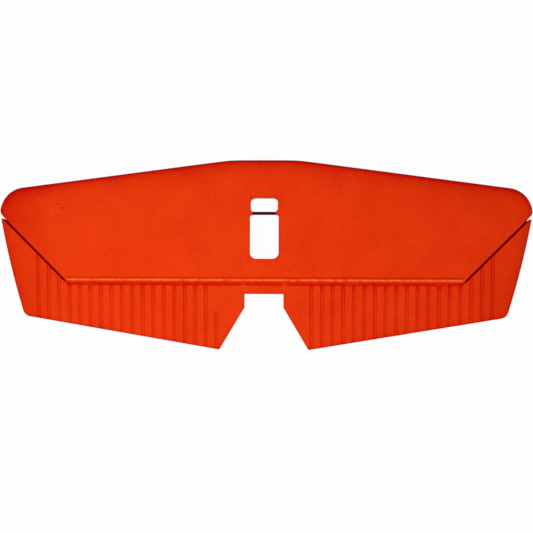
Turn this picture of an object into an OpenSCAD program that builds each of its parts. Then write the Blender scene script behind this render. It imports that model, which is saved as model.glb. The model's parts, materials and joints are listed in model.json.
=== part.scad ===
// Horizontal tail of a radio-control model aircraft: a moulded-foam stabilizer with a
// full-width elevator hinged to its rear edge. X runs along the span, Y points forward
// to the leading edge and Z up. The origin is the middle of the fin slot, halfway
// through the section. Inside the modules Y is measured from the hinge axis.

/* [Stabilizer] */
// Span over the tips
span = 505; // [460:1:600]
// Hinge axis to the leading edge at the centre
stab_chord = 118; // [110:0.5:140]
// Width of the straight middle of the leading edge
centre_flat = 64; // [40:1:100]
// Length over which the leading edge bends from straight to swept
sweep_blend = 12; // [4:1:24]
// Sweep of the leading edge, degrees
le_sweep = 7.5; // [5:0.1:9]
// Plan radius of the front corner of each tip
tip_radius = 24; // [18:0.5:28]
// Plan radius where each tip meets its diagonal cut
tip_heel_radius = 6.5; // [4:0.1:8]

/* [Elevator] */
// Hinge axis to the trailing edge beside the rudder notch
elevator_chord = 62; // [56:0.5:75]
// Sweep of the trailing edge, degrees
te_sweep = 9.6; // [6:0.1:11]
// Reach of the balance horns ahead of the hinge axis
balance_reach = 64.4; // [55:0.1:66]
// Step in from the full span to the point of each balance horn
balance_inset = 0.3; // [0.2:0.1:3]
// Radius of that point
balance_point_radius = 1.2; // [0.6:0.1:2]
// Lean of the elevator's outer edge at the point, degrees
edge_lean = 10.3; // [7:0.1:13]
// Plan radius of the bow in that edge
edge_bow = 725; // [500:5:1500]
// Plan radius of the outer rear corner
rear_corner_radius = 8.5; // [5:0.5:12]
// Angle of the diagonal cut from the hinge line, degrees
cut_angle = 45; // [42:0.5:50]
// Width of the diagonal gap
cut_gap = 1.9; // [1.6:0.1:3]

/* [Section] */
// Thickness over the spar at the centre
root_thickness = 13; // [11:0.5:16]
// Thickness over the spar at the tips
tip_thickness = 10.4; // [9.4:0.1:12]
// Thickness along the hinge line
hinge_thickness = 9.2; // [8:0.1:9.4]
// Thickness of the trailing edge
te_thickness = 2.6; // [2:0.1:4]
// Thickness left at the tip edges
edge_thickness = 3; // [2:0.1:5]
// Thickness of the blunt line along the leading edge
le_thickness = 0.8; // [0.4:0.1:2]
// Width over which the section thins towards the tip edges
edge_fade = 10; // [6:0.5:14]

/* [Hinge line] */
// Hinge axis to the stabilizer's rear edge
lip_set = 1.5; // [1.3:0.1:2]
// Arris left where the rounded rear edge meets the skin
lip_arris = 0.2; // [0.1:0.05:0.5]
// Gap between the stabilizer's rear edge and the elevator's nose
nose_gap = 0.5; // [0.4:0.05:0.8]
// Height of the flat on the elevator's nose
nose_height = 1.2; // [0.8:0.1:1.4]
// Hinge axis back to the top of the nose bevel
bevel_set = 0.8; // [0.4:0.1:3]
// Width of the unbevelled shoulder on each half beside the bridge
shoulder_on_half = 3.2; // [2:0.1:6]
// Width of the unbevelled shoulder on each end of the bridge
shoulder_on_bridge = 1.8; // [1:0.1:4]
// Distance of the shoulders behind the nose
shoulder_set = 0.4; // [0.3:0.05:0.8]

/* [Grooves] */
// Distance between stiffening grooves
groove_pitch = 10; // [8:0.5:14]
// Centre line to the first groove
groove_first = 45; // [43:0.5:50]
// Smooth margin inboard of the tips
groove_margin = 36; // [30:1:60]
// Width of a groove at the skin
groove_width = 3.5; // [2.5:0.1:5]
// Width of a groove's floor
groove_floor = 2.2; // [1.5:0.1:2.4]
// Depth of a groove at the hinge line
groove_depth = 0.9; // [0.5:0.1:1.2]
// Depth of a groove at the trailing edge
groove_tail_depth = 0.45; // [0.2:0.05:0.6]
// Hinge axis back to the end of the smooth pad over the control horn
pad_depth = 26; // [24:0.5:34]

/* [Rudder notch] */
// Width of the notch's parallel front part
notch_width = 37.2; // [30:0.2:44]
// Hinge axis to the front of the notch
notch_front = 9; // [8:0.5:12]
// Hinge axis to where the notch starts to flare
notch_flare = 22; // [16:0.5:28]
// Width of the notch at the trailing edge
notch_mouth = 84.6; // [70:0.2:86]

/* [Fin slot] */
// Hinge axis to the front end of the slot
slot_front = 82; // [76:0.5:90]
// Hinge axis to the rear end of the slot
slot_rear = 24.4; // [20:0.2:34]
// Width of the slot ahead of the spar
slot_front_width = 26; // [20:0.2:32]
// Width of the slot behind the spar
slot_rear_width = 27.6; // [20:0.2:34]
// Corner radius at the slot's front end
slot_front_radius = 4.5; // [1:0.5:6]
// Corner radius at the slot's rear end
slot_rear_radius = 6; // [1:0.5:8]
// Width of the neck where the spar crosses the slot
neck_width = 22.4; // [18:0.2:24]
// Corner radius between the neck and the front part
neck_front_radius = 3; // [1:0.5:4]
// Corner radius between the neck and the rear part
neck_rear_radius = 2; // [1:0.5:4]

/* [Fuselage seat] */
// Width of the flat seat under the middle
seat_width = 46; // [40:1:60]
// Hinge axis to the rear end of the seat
seat_rear = 14; // [10:0.5:18]
// Hinge axis to the front end of the seat
seat_front = 98; // [92:0.5:104]
// Depth of the seat below the thickest part of the section
seat_drop = 0.5; // [0.2:0.1:2]
// Corner radius of the seat
seat_radius = 8; // [3:0.5:12]

/* [Rods] */
// Diameter of the spar rod
spar_d = 3; // [2:0.5:5]
// Hinge axis to the spar rod
spar_ahead = 67.5; // [62:0.5:72]
// Spar rod's ends to the tips
spar_inset = 32; // [26:1:60]
// Diameter of the joiner rod
joiner_d = 3; // [2:0.5:4]
// Length of the joiner rod
joiner_length = 124; // [90:1:140]
// Hinge axis back to the joiner rod
joiner_back = 4.8; // [4.4:0.1:5.4]
// Glue line round the rods
glue_line = 0.05; // [0.02:0.01:0.1]
// Seam between the bridge and each elevator half
seam = 0.15; // [0.05:0.05:0.4]

/* [Hinges] */
// Width of a hinge
hinge_width = 12; // [9:0.5:18]
// Hinge axis to the end of a leaf
leaf_length = 14; // [10:0.5:16]
// Thickness of a leaf
leaf_thickness = 1; // [0.6:0.1:1.4]
// Diameter of the knuckles
knuckle_d = 3; // [2.4:0.1:3.2]
// Gap between neighbouring knuckles
knuckle_gap = 0.3; // [0.15:0.05:0.5]
// Diameter of the hinge pins
pin_d = 1.2; // [0.8:0.1:1.6]
// Running clearance round the pins
pin_clearance = 0.04; // [0.02:0.01:0.08]
// Diameter of the glue holes in the leaves
glue_hole_d = 1.8; // [1:0.1:2.4]
// Room round a leaf in its foam slot
slot_clearance = 0.1; // [0.05:0.05:0.3]
// Room round the knuckles in the foam
knuckle_clearance = 0.5; // [0.3:0.05:0.7]

/* [Control horn] */
// Centre line to the horn's blade
horn_offset = 35; // [31:0.5:37]
// Width of the horn's base
horn_base_width = 12; // [8:0.5:14]
// Length of the horn's base
horn_base_length = 17; // [14:0.5:20]
// Hinge axis back to the front of the base
horn_base_back = 3; // [2.6:0.1:5]
// Depth of the base in the foam
horn_recess = 1.1; // [0.8:0.1:1.4]
// Height of the base outside the foam
horn_proud = 0.5; // [0.3:0.1:1.2]
// Thickness of the blade
horn_blade = 2; // [1.2:0.1:3]
// Hinge axis to the outermost pushrod hole
horn_arm = 21; // [19:0.5:28]
// Distance between pushrod holes
horn_hole_pitch = 3; // [2.6:0.1:4]
// Diameter of a pushrod hole
horn_hole_d = 1.7; // [1:0.1:2]
// Radius of the blade's end
horn_end_radius = 3.2; // [2.4:0.1:4]
// Diameter of the two pegs on the base
horn_peg_d = 2.4; // [1.5:0.1:3]
// Length of the pegs above the base
horn_peg_length = 1.2; // [0.8:0.1:1.4]

/* [Hidden] */
HINGES = ["left_outer", "left_middle", "left_inner", "right_inner", "right_middle", "right_outer"];
$fn = 48;

foam = [0.90, 0.20, 0.05];
carbon = [0.06, 0.06, 0.07];
hinge_nylon = [0.75, 0.13, 0.04];
horn_nylon = [0.09, 0.09, 0.09];
steel = [0.72, 0.73, 0.75];

// How far a cut runs past what it cuts
past = 1;
// Places of a pair of pegs or glue holes, as shares of the length that carries them
pair_shares = [0.35, 0.75];

// Lines that several pieces share
half_span = span / 2;
hinge_y = -(slot_front + slot_rear) / 2;
hinge_half = hinge_thickness / 2;
te_half = te_thickness / 2;
lip_radius = hinge_half + lip_arris;
lip_y = lip_set + lip_radius;
trim_y = lip_set - past;
nose_y = lip_set - nose_gap;
shoulder_y = nose_y - shoulder_set;
notch_half = notch_width / 2;
mouth_half = notch_mouth / 2;
sweep_start = centre_flat / 2;

// The tip's front corner: a circle that touches the swept leading edge and the span line
tip_x = half_span - tip_radius;
tip = [tip_x, le_line(tip_x) - tip_radius / cos(le_sweep)];

// The diagonal cut runs down and inboard from the point of the balance horn
point = [half_span - balance_inset, balance_reach];
cut_along = [cos(cut_angle), sin(cut_angle)];
cut_out = [sin(cut_angle), -cos(cut_angle)];
stab_cut = cut_out * point - cut_gap;

// The tip's heel: a circle inside the tip circle that touches the stabilizer's side of the cut
heel_depth = stab_cut - tip_heel_radius;
heel_slide = sqrt(pow(tip_radius - tip_heel_radius, 2) - pow(heel_depth - cut_out * tip, 2));
heel = cut_out * heel_depth + cut_along * (cut_along * tip + heel_slide);
heel_angle = atan2(heel.y - tip.y, heel.x - tip.x);

// The elevator's outer rear corner, where its leaning edge meets the trailing edge
corner_y = settle_corner(te_y(half_span));
corner = [side_x(corner_y), corner_y];
corner_lean = edge_slope(corner_y);
te_inward = [-cos(te_sweep), -sin(te_sweep)];
edge_upward = [sin(corner_lean), cos(corner_lean)];
corner_half = acos(te_inward * edge_upward) / 2;
corner_bisector = (te_inward + edge_upward) / norm(te_inward + edge_upward);
corner_centre = corner + corner_bisector * rear_corner_radius / sin(corner_half);
corner_top = corner + edge_upward * rear_corner_radius / tan(corner_half);

// Hinges share the hinge line between the joiner rod's ends and the diagonal cuts
hinge_room = (elevator_cut_x(nose_y) - joiner_length / 2) / 3;
hinge_places = [for (i = [0.5, 1.5, 2.5]) joiner_length / 2 + hinge_room * i];
hinge_xs = concat([for (i = [2:-1:0]) -hinge_places[i]], hinge_places);
knuckle_width = hinge_width / 3;

groove_xs = [for (x = [groove_first : groove_pitch : half_span - groove_margin]) x];

// Outline of the tail in plan
function le_line(x) =
    let (run = x - sweep_start)
    stab_chord - tan(le_sweep) * (run + sqrt(run * run + sweep_blend * sweep_blend / 4)) / 2;
function te_y(x) = (x - mouth_half) * tan(te_sweep) - elevator_chord;
function side_x(y) =
    let (down = balance_reach - y)
    point.x - down * tan(edge_lean) - down * down / (2 * edge_bow);
function edge_slope(y) = atan(tan(edge_lean) + (balance_reach - y) / edge_bow);
function settle_corner(y, turns = 8) = turns == 0 ? y : settle_corner(te_y(side_x(y)), turns - 1);
function elevator_cut_x(y) = point.x - (point.y - y) / tan(cut_angle);
function stab_cut_x(y) = elevator_cut_x(y) - cut_gap / sin(cut_angle);
function on_circle(centre, r, angle) = centre + r * [cos(angle), sin(angle)];
function between(a, b, share) = a + (b - a) * share;

// Half of the section's thickness, before its edges are thinned
function crest(x) = between(root_thickness, tip_thickness, x / half_span) / 2;
function rise(y) = 1 - pow(1 - min(1, (y - lip_y) / (spar_ahead - lip_y)), 2);
function skin_half(x, y) =
    y > lip_y ? between(hinge_half, crest(x), rise(y)) :
    y > -bevel_set ? hinge_half :
    between(te_half, hinge_half, (y - te_y(x)) / (-bevel_set - te_y(x)));
function fade(depth, width) = sqrt(1 - pow(1 - max(0, min(1, depth / width)), 2));
function thinned(half, edge_half, share) = between(min(half, edge_half), half, share);
function tip_thinned(x, y, edge_x) =
    thinned(skin_half(x, y), edge_thickness / 2, fade(edge_x - x, edge_fade));

// Points of the stabilizer along one line from its rear edge to its leading edge, closest
// together at the nose. On the short lines near the tips the nose's curve is shorter too.
stab_steps = 16;
stab_shares = [for (i = [0:stab_steps]) sin(90 * i / stab_steps)];
nose_length = stab_chord - spar_ahead;
nose_share = 0.6;
function stab_point(rear, front, share) =
    let (
        p = between(rear, front, share),
        length = norm(front - rear),
        ahead = (1 - share) * length,
        half = tip_thinned(p.x, p.y, half_span)
    )
    [p.x, p.y, thinned(half, le_thickness / 2, fade(ahead, min(nose_length, nose_share * length)))];
function stab_row(ends) = [for (share = stab_shares) stab_point(ends[0], ends[1], share)];

// Ends of those lines, from the centre to one tip. They crowd round the bend of the leading
// edge, fan out along the cut and end on a short line across the tip's heel.
bend_shares = [0, 0.6, 0.85, 1, 1.15, 1.5];
swept_share = 0.57;
corner_share = 0.64;
cut_foot = [stab_cut_x(trim_y), trim_y];
heel_top = heel + cut_out * tip_heel_radius;
tip_front = 90 - le_sweep;
tip_turn = 32;
last_rear = heel_angle - 2;
last_front = heel_angle + 3;
function straight_ends(x) = [[x, trim_y], [x, le_line(x)]];
stab_ends = concat(
    [for (share = bend_shares) straight_ends(share * sweep_start)],
    [for (i = [1:4]) straight_ends(between(max(bend_shares) * sweep_start, cut_foot.x, i / 4))],
    [for (i = [1:3])
        let (x = between(cut_foot.x, tip.x, i / 3))
        [between(cut_foot, heel_top, swept_share * i / 3), [x, le_line(x)]]],
    [for (i = [0:4])
        [between(cut_foot, heel_top, between(corner_share, 1, i / 4)),
         on_circle(tip, tip_radius, between(tip_front, tip_turn, i / 4))]],
    [for (i = [1:4])
        [on_circle(heel, tip_heel_radius, between(cut_angle - 90, last_rear, i / 4)),
         on_circle(tip, tip_radius, between(tip_turn, last_front, i / 4))]]
);

// Points of an elevator half along one line from its trailing edge to its front. All but the
// last lie behind the nose bevel, or behind the edge of the cut on the balance horn.
elevator_shares = [0, 0.03, 0.08, 0.16, 0.26, 0.38, 0.52, 0.68, 0.84, 1];
horn_share = 0.96;
function elevator_point(rear, front, share) =
    let (p = between(rear, front, share))
    [p.x, p.y, tip_thinned(p.x, p.y, side_x(p.y))];
function elevator_row(ends) =
    let (
        rear = ends[0],
        front = ends[1],
        bevel_share = (-bevel_set - rear.y) / (front.y - rear.y),
        flat_share = front.y == nose_y ? bevel_share : horn_share
    )
    [for (share = concat(elevator_shares * flat_share, [1])) elevator_point(rear, front, share)];

// Ends of those lines, from the rudder notch to the point of the balance horn. Along the cut
// they share it between the trailing edge, the rear corner and the outer edge.
corner_start_share = 0.51;
corner_end_share = 0.71;
cut_base = [elevator_cut_x(nose_y), nose_y];
corner_in = corner + te_inward * rear_corner_radius / tan(corner_half);
point_half = (90 - cut_angle - edge_lean) / 2;
point_run = balance_point_radius / tan(point_half);
point_front = point - cut_along * point_run;
point_side = point - [sin(edge_lean), cos(edge_lean)] * point_run;
point_centre = point_front + cut_out * balance_point_radius;
point_middle = 90 - edge_lean - point_half;
function on_cut(share) = between(cut_base, point_front, share);
function on_point(start, share) =
    on_circle(point_centre, balance_point_radius, between(start, point_middle, share));
elevator_ends = concat(
    [for (i = [0:2])
        let (x = between(notch_half, mouth_half, i / 2))
        [[x, between(-notch_flare, -elevator_chord, i / 2)], [x, nose_y]]],
    [for (i = [1:4])
        let (x = between(mouth_half, cut_base.x, i / 4))
        [[x, te_y(x)], [x, nose_y]]],
    [for (i = [1:3])
        let (x = between(cut_base.x, corner_in.x, i / 3))
        [[x, te_y(x)], on_cut(corner_start_share * i / 3)]],
    [for (i = [1:4])
        [on_circle(corner_centre, rear_corner_radius, between(te_sweep - 90, -corner_lean, i / 4)),
         on_cut(between(corner_start_share, corner_end_share, i / 4))]],
    [for (i = [1:7])
        let (y = between(corner_top.y, point_side.y, i / 7))
        [[side_x(y), y], on_cut(between(corner_end_share, 1, i / 7))]],
    [for (i = [1:2]) [on_point(-edge_lean, i / 3), on_point(cut_angle + 90, i / 3)]]
);

// A closed skin over rows of [x, y, half thickness], alike above and below the middle plane
module skin(rows) {
    n = len(rows);
    m = len(rows[0]);
    under = n * m;
    top = [for (row = rows) each row];
    bottom = [for (p = top) [p.x, p.y, -p.z]];
    function quad(a, b, c, d) = [[a, b, c], [a, c, d]];
    function at(i, j) = i * m + j;
    decks = [for (i = [0:n - 2]) for (j = [0:m - 2])
        let (a = at(i, j), b = at(i + 1, j), c = at(i + 1, j + 1), d = at(i, j + 1))
        each concat(quad(a, d, c, b), quad(under + a, under + b, under + c, under + d))];
    long_walls = [for (i = [0:n - 2])
        let (a = at(i, 0), b = at(i + 1, 0), c = at(i + 1, m - 1), d = at(i, m - 1))
        each concat(quad(a, b, under + b, under + a), quad(c, d, under + d, under + c))];
    end_walls = [for (j = [0:m - 2])
        let (a = at(0, j), b = at(0, j + 1), c = at(n - 1, j), d = at(n - 1, j + 1))
        each concat(quad(b, a, under + a, under + b), quad(c, d, under + d, under + c))];
    polyhedron(concat(top, bottom), concat(decks, long_walls, end_walls));
}

// Places what is measured from the hinge axis
module from_hinge() {
    translate([0, hinge_y, 0]) children();
}

// A rod along X, centred on x
module rod(x, y, r, length) {
    translate([x, y, 0]) rotate([0, 90, 0]) cylinder(r = r, h = length, center = true);
}

// A profile of [y, z] points carried along X
module along_x(x0, x1) {
    translate([x0, 0, 0]) rotate([90, 0, 90]) linear_extrude(x1 - x0) children();
}

// Foam cut away for a hinge: a slot for the leaf on one side and room for the knuckles
module hinge_pocket(x, side) {
    room = hinge_width + 2 * slot_clearance;
    depth = leaf_length + slot_clearance;
    translate([x, side * depth / 2, 0])
        cube([room, depth, leaf_thickness + 2 * slot_clearance], center = true);
    rod(x, 0, knuckle_d / 2 + knuckle_clearance, room);
}

// A rectangle with its own corner radius at each end, y0 being the rear end
module rounded_outline(width, y0, y1, r0, r1) {
    translate([-width / 2, y0 + r0]) square([width, y1 - r1 - y0 - r0]);
    translate([-width / 2 + r0, y0]) square([width - 2 * r0, y1 - y0 - r1]);
    translate([-width / 2 + r1, y0 + r0]) square([width - 2 * r1, y1 - y0 - r0]);
    for (s = [-1, 1]) {
        translate([s * (width / 2 - r0), y0 + r0]) circle(r0);
        translate([s * (width / 2 - r1), y1 - r1]) circle(r1);
    }
}

// A window ahead of the spar and one behind it, joined by a neck that the spar crosses
module fin_slot() {
    neck_front = spar_ahead + spar_d / 2;
    neck_rear = spar_ahead - spar_d / 2;
    linear_extrude(2 * root_thickness, center = true) {
        rounded_outline(slot_front_width, neck_front, slot_front, neck_front_radius, slot_front_radius);
        rounded_outline(slot_rear_width, slot_rear, neck_rear, slot_rear_radius, neck_rear_radius);
        translate([-neck_width / 2, neck_rear - past]) square([neck_width, spar_d + 2 * past]);
    }
}

// Rounds the stabilizer's rear edge
module lip_cove() {
    difference() {
        translate([-half_span, trim_y - past, -hinge_thickness])
            cube([span, lip_y - trim_y + past, 2 * hinge_thickness]);
        rod(0, lip_y, lip_radius, span + 2 * past);
    }
}

module stabilizer() {
    half_rows = [for (ends = stab_ends) stab_row(ends)];
    n = len(half_rows);
    rows = concat(
        [for (i = [n - 1:-1:1]) [for (p = half_rows[i]) [-p.x, p.y, p.z]]],
        half_rows
    );
    seat_z = root_thickness / 2 + seat_drop;
    color(foam) from_hinge() difference() {
        union() {
            skin(rows);
            translate([0, 0, -seat_z]) linear_extrude(seat_z)
                rounded_outline(seat_width, seat_rear, seat_front, seat_radius, seat_radius);
        }
        lip_cove();
        fin_slot();
        rod(0, spar_ahead, spar_d / 2 + glue_line, span - 2 * spar_inset + 2 * glue_line);
        for (x = hinge_xs) hinge_pocket(x, 1);
    }
}

module spar_rod() {
    color(carbon) from_hinge() rod(0, spar_ahead, spar_d / 2, span - 2 * spar_inset);
}

// A groove whose floor runs back from [y0, z0] to [y1, z1]
module groove(x, y0, z0, y1, z1) {
    reach = 3 * groove_depth;
    spread = (groove_width - groove_floor) / groove_depth;
    floor_half = groove_floor / 2;
    top_half = floor_half + spread * reach / 2;
    translate([x, y0, z0]) rotate([90 + atan((z0 - z1) / (y0 - y1)), 0, 0])
        linear_extrude(norm([y0 - y1, z0 - z1]))
            polygon([[-floor_half, 0], [floor_half, 0], [top_half, reach], [-top_half, reach]]);
}

// The grooves of one face, the first of which may stop short at the smooth pad
module grooves(padded) {
    front_z = hinge_half - groove_depth;
    for (i = [0:len(groove_xs) - 1]) {
        x = groove_xs[i];
        slope = (front_z - te_half + groove_tail_depth) / (-bevel_set - te_y(x));
        y0 = padded && i == 0 ? -pad_depth : lip_set;
        y1 = te_y(x) - groove_width;
        groove(x, y0, front_z + slope * (y0 + bevel_set), y1, front_z + slope * (y1 + bevel_set));
        if (elevator_cut_x(-bevel_set) < x)
            groove(x, balance_reach, front_z, -bevel_set - groove_depth, front_z);
    }
}

// Bevels one face of the elevator's nose from the shoulder out to the diagonal cut
module nose_bevel() {
    lift = hinge_half;
    lean = (nose_y + bevel_set) / (hinge_half - nose_height / 2);
    intersection() {
        along_x(notch_half + shoulder_on_half, half_span)
            polygon([
                [nose_y + lean * past, nose_height / 2 - past],
                [-bevel_set - lean * lift, hinge_half + lift],
                [nose_y + lean * past, hinge_half + lift]
            ]);
        linear_extrude(3 * hinge_half)
            polygon([[0, -span], [elevator_cut_x(-span), -span], [elevator_cut_x(span), span], [0, span]]);
    }
}

// The right half, moulded in one piece with its balance horn
module elevator_half(padded) {
    difference() {
        skin([for (ends = elevator_ends) elevator_row(ends)]);
        for (s = [0, 1]) mirror([0, 0, s]) {
            nose_bevel();
            grooves(padded);
        }
        along_x(notch_half - past, notch_half + shoulder_on_half)
            translate([shoulder_y, -hinge_thickness]) square(2 * hinge_thickness);
        for (x = hinge_places) hinge_pocket(x, -1);
        rod(0, -joiner_back, joiner_d / 2 + glue_line, joiner_length + 2 * glue_line);
    }
}

module elevator_right() {
    color(foam) from_hinge() elevator_half(false);
}

module elevator_left() {
    color(foam) from_hinge() difference() {
        mirror([1, 0, 0]) elevator_half(true);
        horn_pocket();
    }
}

// Section of the bridge, with a flat front of the given half height at y
module bridge_profile(y, front_half) {
    rear_half = skin_half(notch_half, -notch_front);
    polygon([
        [y, front_half], [-bevel_set, hinge_half], [-notch_front, rear_half],
        [-notch_front, -rear_half], [-bevel_set, -hinge_half], [y, -front_half]
    ]);
}

module elevator_bridge() {
    bevel_end = notch_half - shoulder_on_bridge;
    color(foam) from_hinge() difference() {
        union() {
            along_x(-bevel_end, bevel_end) bridge_profile(nose_y, nose_height / 2);
            for (s = [0, 1]) mirror([s, 0, 0])
                along_x(bevel_end, notch_half - seam) bridge_profile(shoulder_y, hinge_half);
        }
        rod(0, -joiner_back, joiner_d / 2 + glue_line, notch_width);
    }
}

module joiner_rod() {
    color(carbon) from_hinge() rod(0, -joiner_back, joiner_d / 2, joiner_length);
}

// The control horn's base follows the underside of the left half
horn_front_y = -horn_base_back;
horn_rear_y = horn_front_y - horn_base_length;
function horn_skin(y) = -skin_half(horn_offset, y);
module horn_base_profile(room, drop) {
    polygon([
        [horn_front_y + room, horn_skin(horn_front_y) + horn_recess + room],
        [horn_rear_y - room, horn_skin(horn_rear_y) + horn_recess + room],
        [horn_rear_y - room, horn_skin(horn_rear_y) - drop],
        [horn_front_y + room, horn_skin(horn_front_y) - drop]
    ]);
}

// Two pegs on the base's centre line
module horn_pegs(room) {
    for (share = pair_shares) {
        y = between(horn_front_y, horn_rear_y, share);
        translate([-horn_offset, y, horn_skin(y)])
            cylinder(r = horn_peg_d / 2 + room, h = horn_recess + horn_peg_length + room);
    }
}

module horn_pocket() {
    half_width = horn_base_width / 2 + slot_clearance;
    along_x(-horn_offset - half_width, -horn_offset + half_width)
        horn_base_profile(slot_clearance, hinge_half);
    horn_pegs(slot_clearance);
}

// Where a line from p touches the circle about c on the given side
function touch(p, c, r, side) =
    let (d = c - p, turn = atan2(d.y, d.x) + side * asin(r / norm(d)))
    p + sqrt(d * d - r * r) * [cos(turn), sin(turn)];

module control_horn() {
    end = [0, -horn_arm];
    top_hole = horn_arm - 2 * horn_hole_pitch;
    foot_front = [horn_front_y - horn_proud, horn_skin(horn_front_y)];
    foot_rear = [horn_rear_y + horn_proud, horn_skin(horn_rear_y)];
    color(horn_nylon) from_hinge() difference() {
        union() {
            along_x(-horn_offset - horn_base_width / 2, -horn_offset + horn_base_width / 2)
                horn_base_profile(0, horn_proud);
            horn_pegs(0);
            along_x(-horn_offset - horn_blade / 2, -horn_offset + horn_blade / 2) {
                polygon([
                    foot_front,
                    [horn_end_radius, horn_hole_d - top_hole],
                    [horn_end_radius, end.y],
                    end,
                    touch(foot_rear, end, horn_end_radius, -1),
                    foot_rear
                ]);
                translate(end) circle(horn_end_radius);
            }
        }
        for (i = [0:2])
            translate([-horn_offset, 0, -horn_arm + i * horn_hole_pitch]) rotate([0, 90, 0])
                cylinder(r = horn_hole_d / 2, h = 2 * horn_blade, center = true);
    }
}

// One leaf of a hinge, forward of the pin for side 1 and behind it for side -1. Each knuckle
// is given as its middle and its width.
module leaf(side, knuckles) {
    start = knuckle_d / 2 + knuckle_gap;
    length = leaf_length - start;
    hole_x = hinge_width / 4;
    difference() {
        union() {
            translate([0, side * (start + length / 2), 0])
                cube([hinge_width, length, leaf_thickness], center = true);
            for (k = knuckles) {
                rod(k[0], 0, knuckle_d / 2, k[1]);
                translate([k[0], side * start / 2, 0])
                    cube([k[1], start + 2 * pin_clearance, leaf_thickness], center = true);
            }
        }
        rod(0, 0, pin_d / 2 + pin_clearance, hinge_width + 2 * past);
        for (x = [-hole_x, hole_x]) for (share = pair_shares)
            translate([x, side * between(start, leaf_length, share), 0])
                cylinder(d = glue_hole_d, h = 2 * leaf_thickness, center = true);
    }
}

module stab_leaf(i) {
    outer_width = knuckle_width - knuckle_gap;
    outer_x = (hinge_width - outer_width) / 2;
    color(hinge_nylon) from_hinge() translate([hinge_xs[i], 0, 0])
        leaf(1, [[-outer_x, outer_width], [outer_x, outer_width]]);
}

module elevator_leaf(i) {
    color(hinge_nylon) from_hinge() translate([hinge_xs[i], 0, 0]) leaf(-1, [[0, knuckle_width]]);
}

module hinge_pin(i) {
    color(steel) from_hinge() rod(hinge_xs[i], 0, pin_d / 2, hinge_width);
}

stabilizer();
spar_rod();
elevator_left();
elevator_right();
elevator_bridge();
joiner_rod();
control_horn();
for (i = [0:len(HINGES) - 1]) {
    stab_leaf(i);
    elevator_leaf(i);
    hinge_pin(i);
}
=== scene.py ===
import json
import math

import bpy
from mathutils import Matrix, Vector, noise

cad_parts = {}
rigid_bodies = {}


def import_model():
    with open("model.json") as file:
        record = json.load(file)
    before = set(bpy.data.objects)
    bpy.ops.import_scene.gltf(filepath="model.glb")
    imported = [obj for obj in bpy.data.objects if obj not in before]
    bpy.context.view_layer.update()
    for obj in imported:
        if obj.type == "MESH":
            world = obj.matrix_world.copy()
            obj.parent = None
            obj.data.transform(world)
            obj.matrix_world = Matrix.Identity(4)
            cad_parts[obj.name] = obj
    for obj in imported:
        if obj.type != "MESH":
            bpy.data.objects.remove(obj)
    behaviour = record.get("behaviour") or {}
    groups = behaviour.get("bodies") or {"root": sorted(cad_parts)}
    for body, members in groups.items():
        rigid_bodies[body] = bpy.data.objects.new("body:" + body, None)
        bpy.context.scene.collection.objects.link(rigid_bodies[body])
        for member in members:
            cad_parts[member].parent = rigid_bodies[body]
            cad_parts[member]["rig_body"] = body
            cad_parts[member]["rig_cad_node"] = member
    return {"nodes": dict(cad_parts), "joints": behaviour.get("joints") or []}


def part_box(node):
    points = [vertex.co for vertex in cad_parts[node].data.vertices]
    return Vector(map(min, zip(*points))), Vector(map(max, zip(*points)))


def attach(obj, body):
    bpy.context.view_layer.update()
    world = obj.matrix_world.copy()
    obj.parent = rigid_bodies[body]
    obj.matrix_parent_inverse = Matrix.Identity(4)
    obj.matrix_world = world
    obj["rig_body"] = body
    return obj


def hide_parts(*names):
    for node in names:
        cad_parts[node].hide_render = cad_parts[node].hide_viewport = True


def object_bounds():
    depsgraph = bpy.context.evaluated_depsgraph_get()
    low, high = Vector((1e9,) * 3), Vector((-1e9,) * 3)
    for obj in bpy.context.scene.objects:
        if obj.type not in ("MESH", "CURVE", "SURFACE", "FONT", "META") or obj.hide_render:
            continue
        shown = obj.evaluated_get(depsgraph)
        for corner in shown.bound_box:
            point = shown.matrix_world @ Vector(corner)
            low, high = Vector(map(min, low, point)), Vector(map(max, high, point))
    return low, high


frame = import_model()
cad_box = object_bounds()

bpy.ops.object.select_all(action="DESELECT")
mm = 0.001


# Camera
# The tail is seen from straight above with its leading edge at the top of the picture. The lens
# stands a little to the right of the middle, so the right tip is slightly nearer than the left.
camera_height = 1.0
camera_right = 37 * mm
camera_back = -36 * mm
camera_yaw = math.radians(1.986)
camera_roll = math.radians(0.208)
focal_length = 71.19
sensor_width = 36
bpy.ops.object.camera_add(
    location=(camera_right, camera_back, camera_height),
    rotation=(0, camera_yaw, camera_roll),
)
camera = bpy.context.object
camera.data.lens = focal_length
camera.data.sensor_width = sensor_width
bpy.context.scene.camera = camera


# Stabilizer
# The fixed front moulding: foam beads steamed together in a mould, dyed and painted orange-red.
# Its skin swells to the spar, rounds over at the leading edge and rolls under along the hinge line.
hinge_y = frame["joints"][0]["pos_m"][1]
stab_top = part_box("stabilizer")[1]
half_span = stab_top.x
stab_chord = stab_top.y - hinge_y
sweep_start = 32 * mm
sweep_blend = 12 * mm
le_sweep = math.radians(7.5)
tip_radius = 24 * mm
heel_radius = 6.5 * mm
balance_reach = 64.4 * mm
balance_inset = 0.3 * mm
cut_angle = math.radians(45)
cut_gap = 1.9 * mm
cut_flash = 0.948 * mm
flash_fade = 2.5 * mm
root_half = 6.5 * mm
tip_half = 5.2 * mm
hinge_half = 4.6 * mm
le_half = 0.4 * mm
edge_half = 1.5 * mm
edge_fade = 10 * mm
spar_half = 1.5 * mm
spar_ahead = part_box("spar_rod")[1].y - hinge_y - spar_half
nose_length = stab_chord - spar_ahead
nose_share = 0.6
lip_set = 0.7 * mm
lip_radius = 4.8 * mm
lip_y = lip_set + lip_radius
lip_soft = 0.5 * mm
shoulder_start = 16.8 * mm
shoulder_end = 21.8 * mm
crease_y = 6.25 * mm
crease_width = 0.6 * mm
crease_depth = 0.2 * mm
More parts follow.
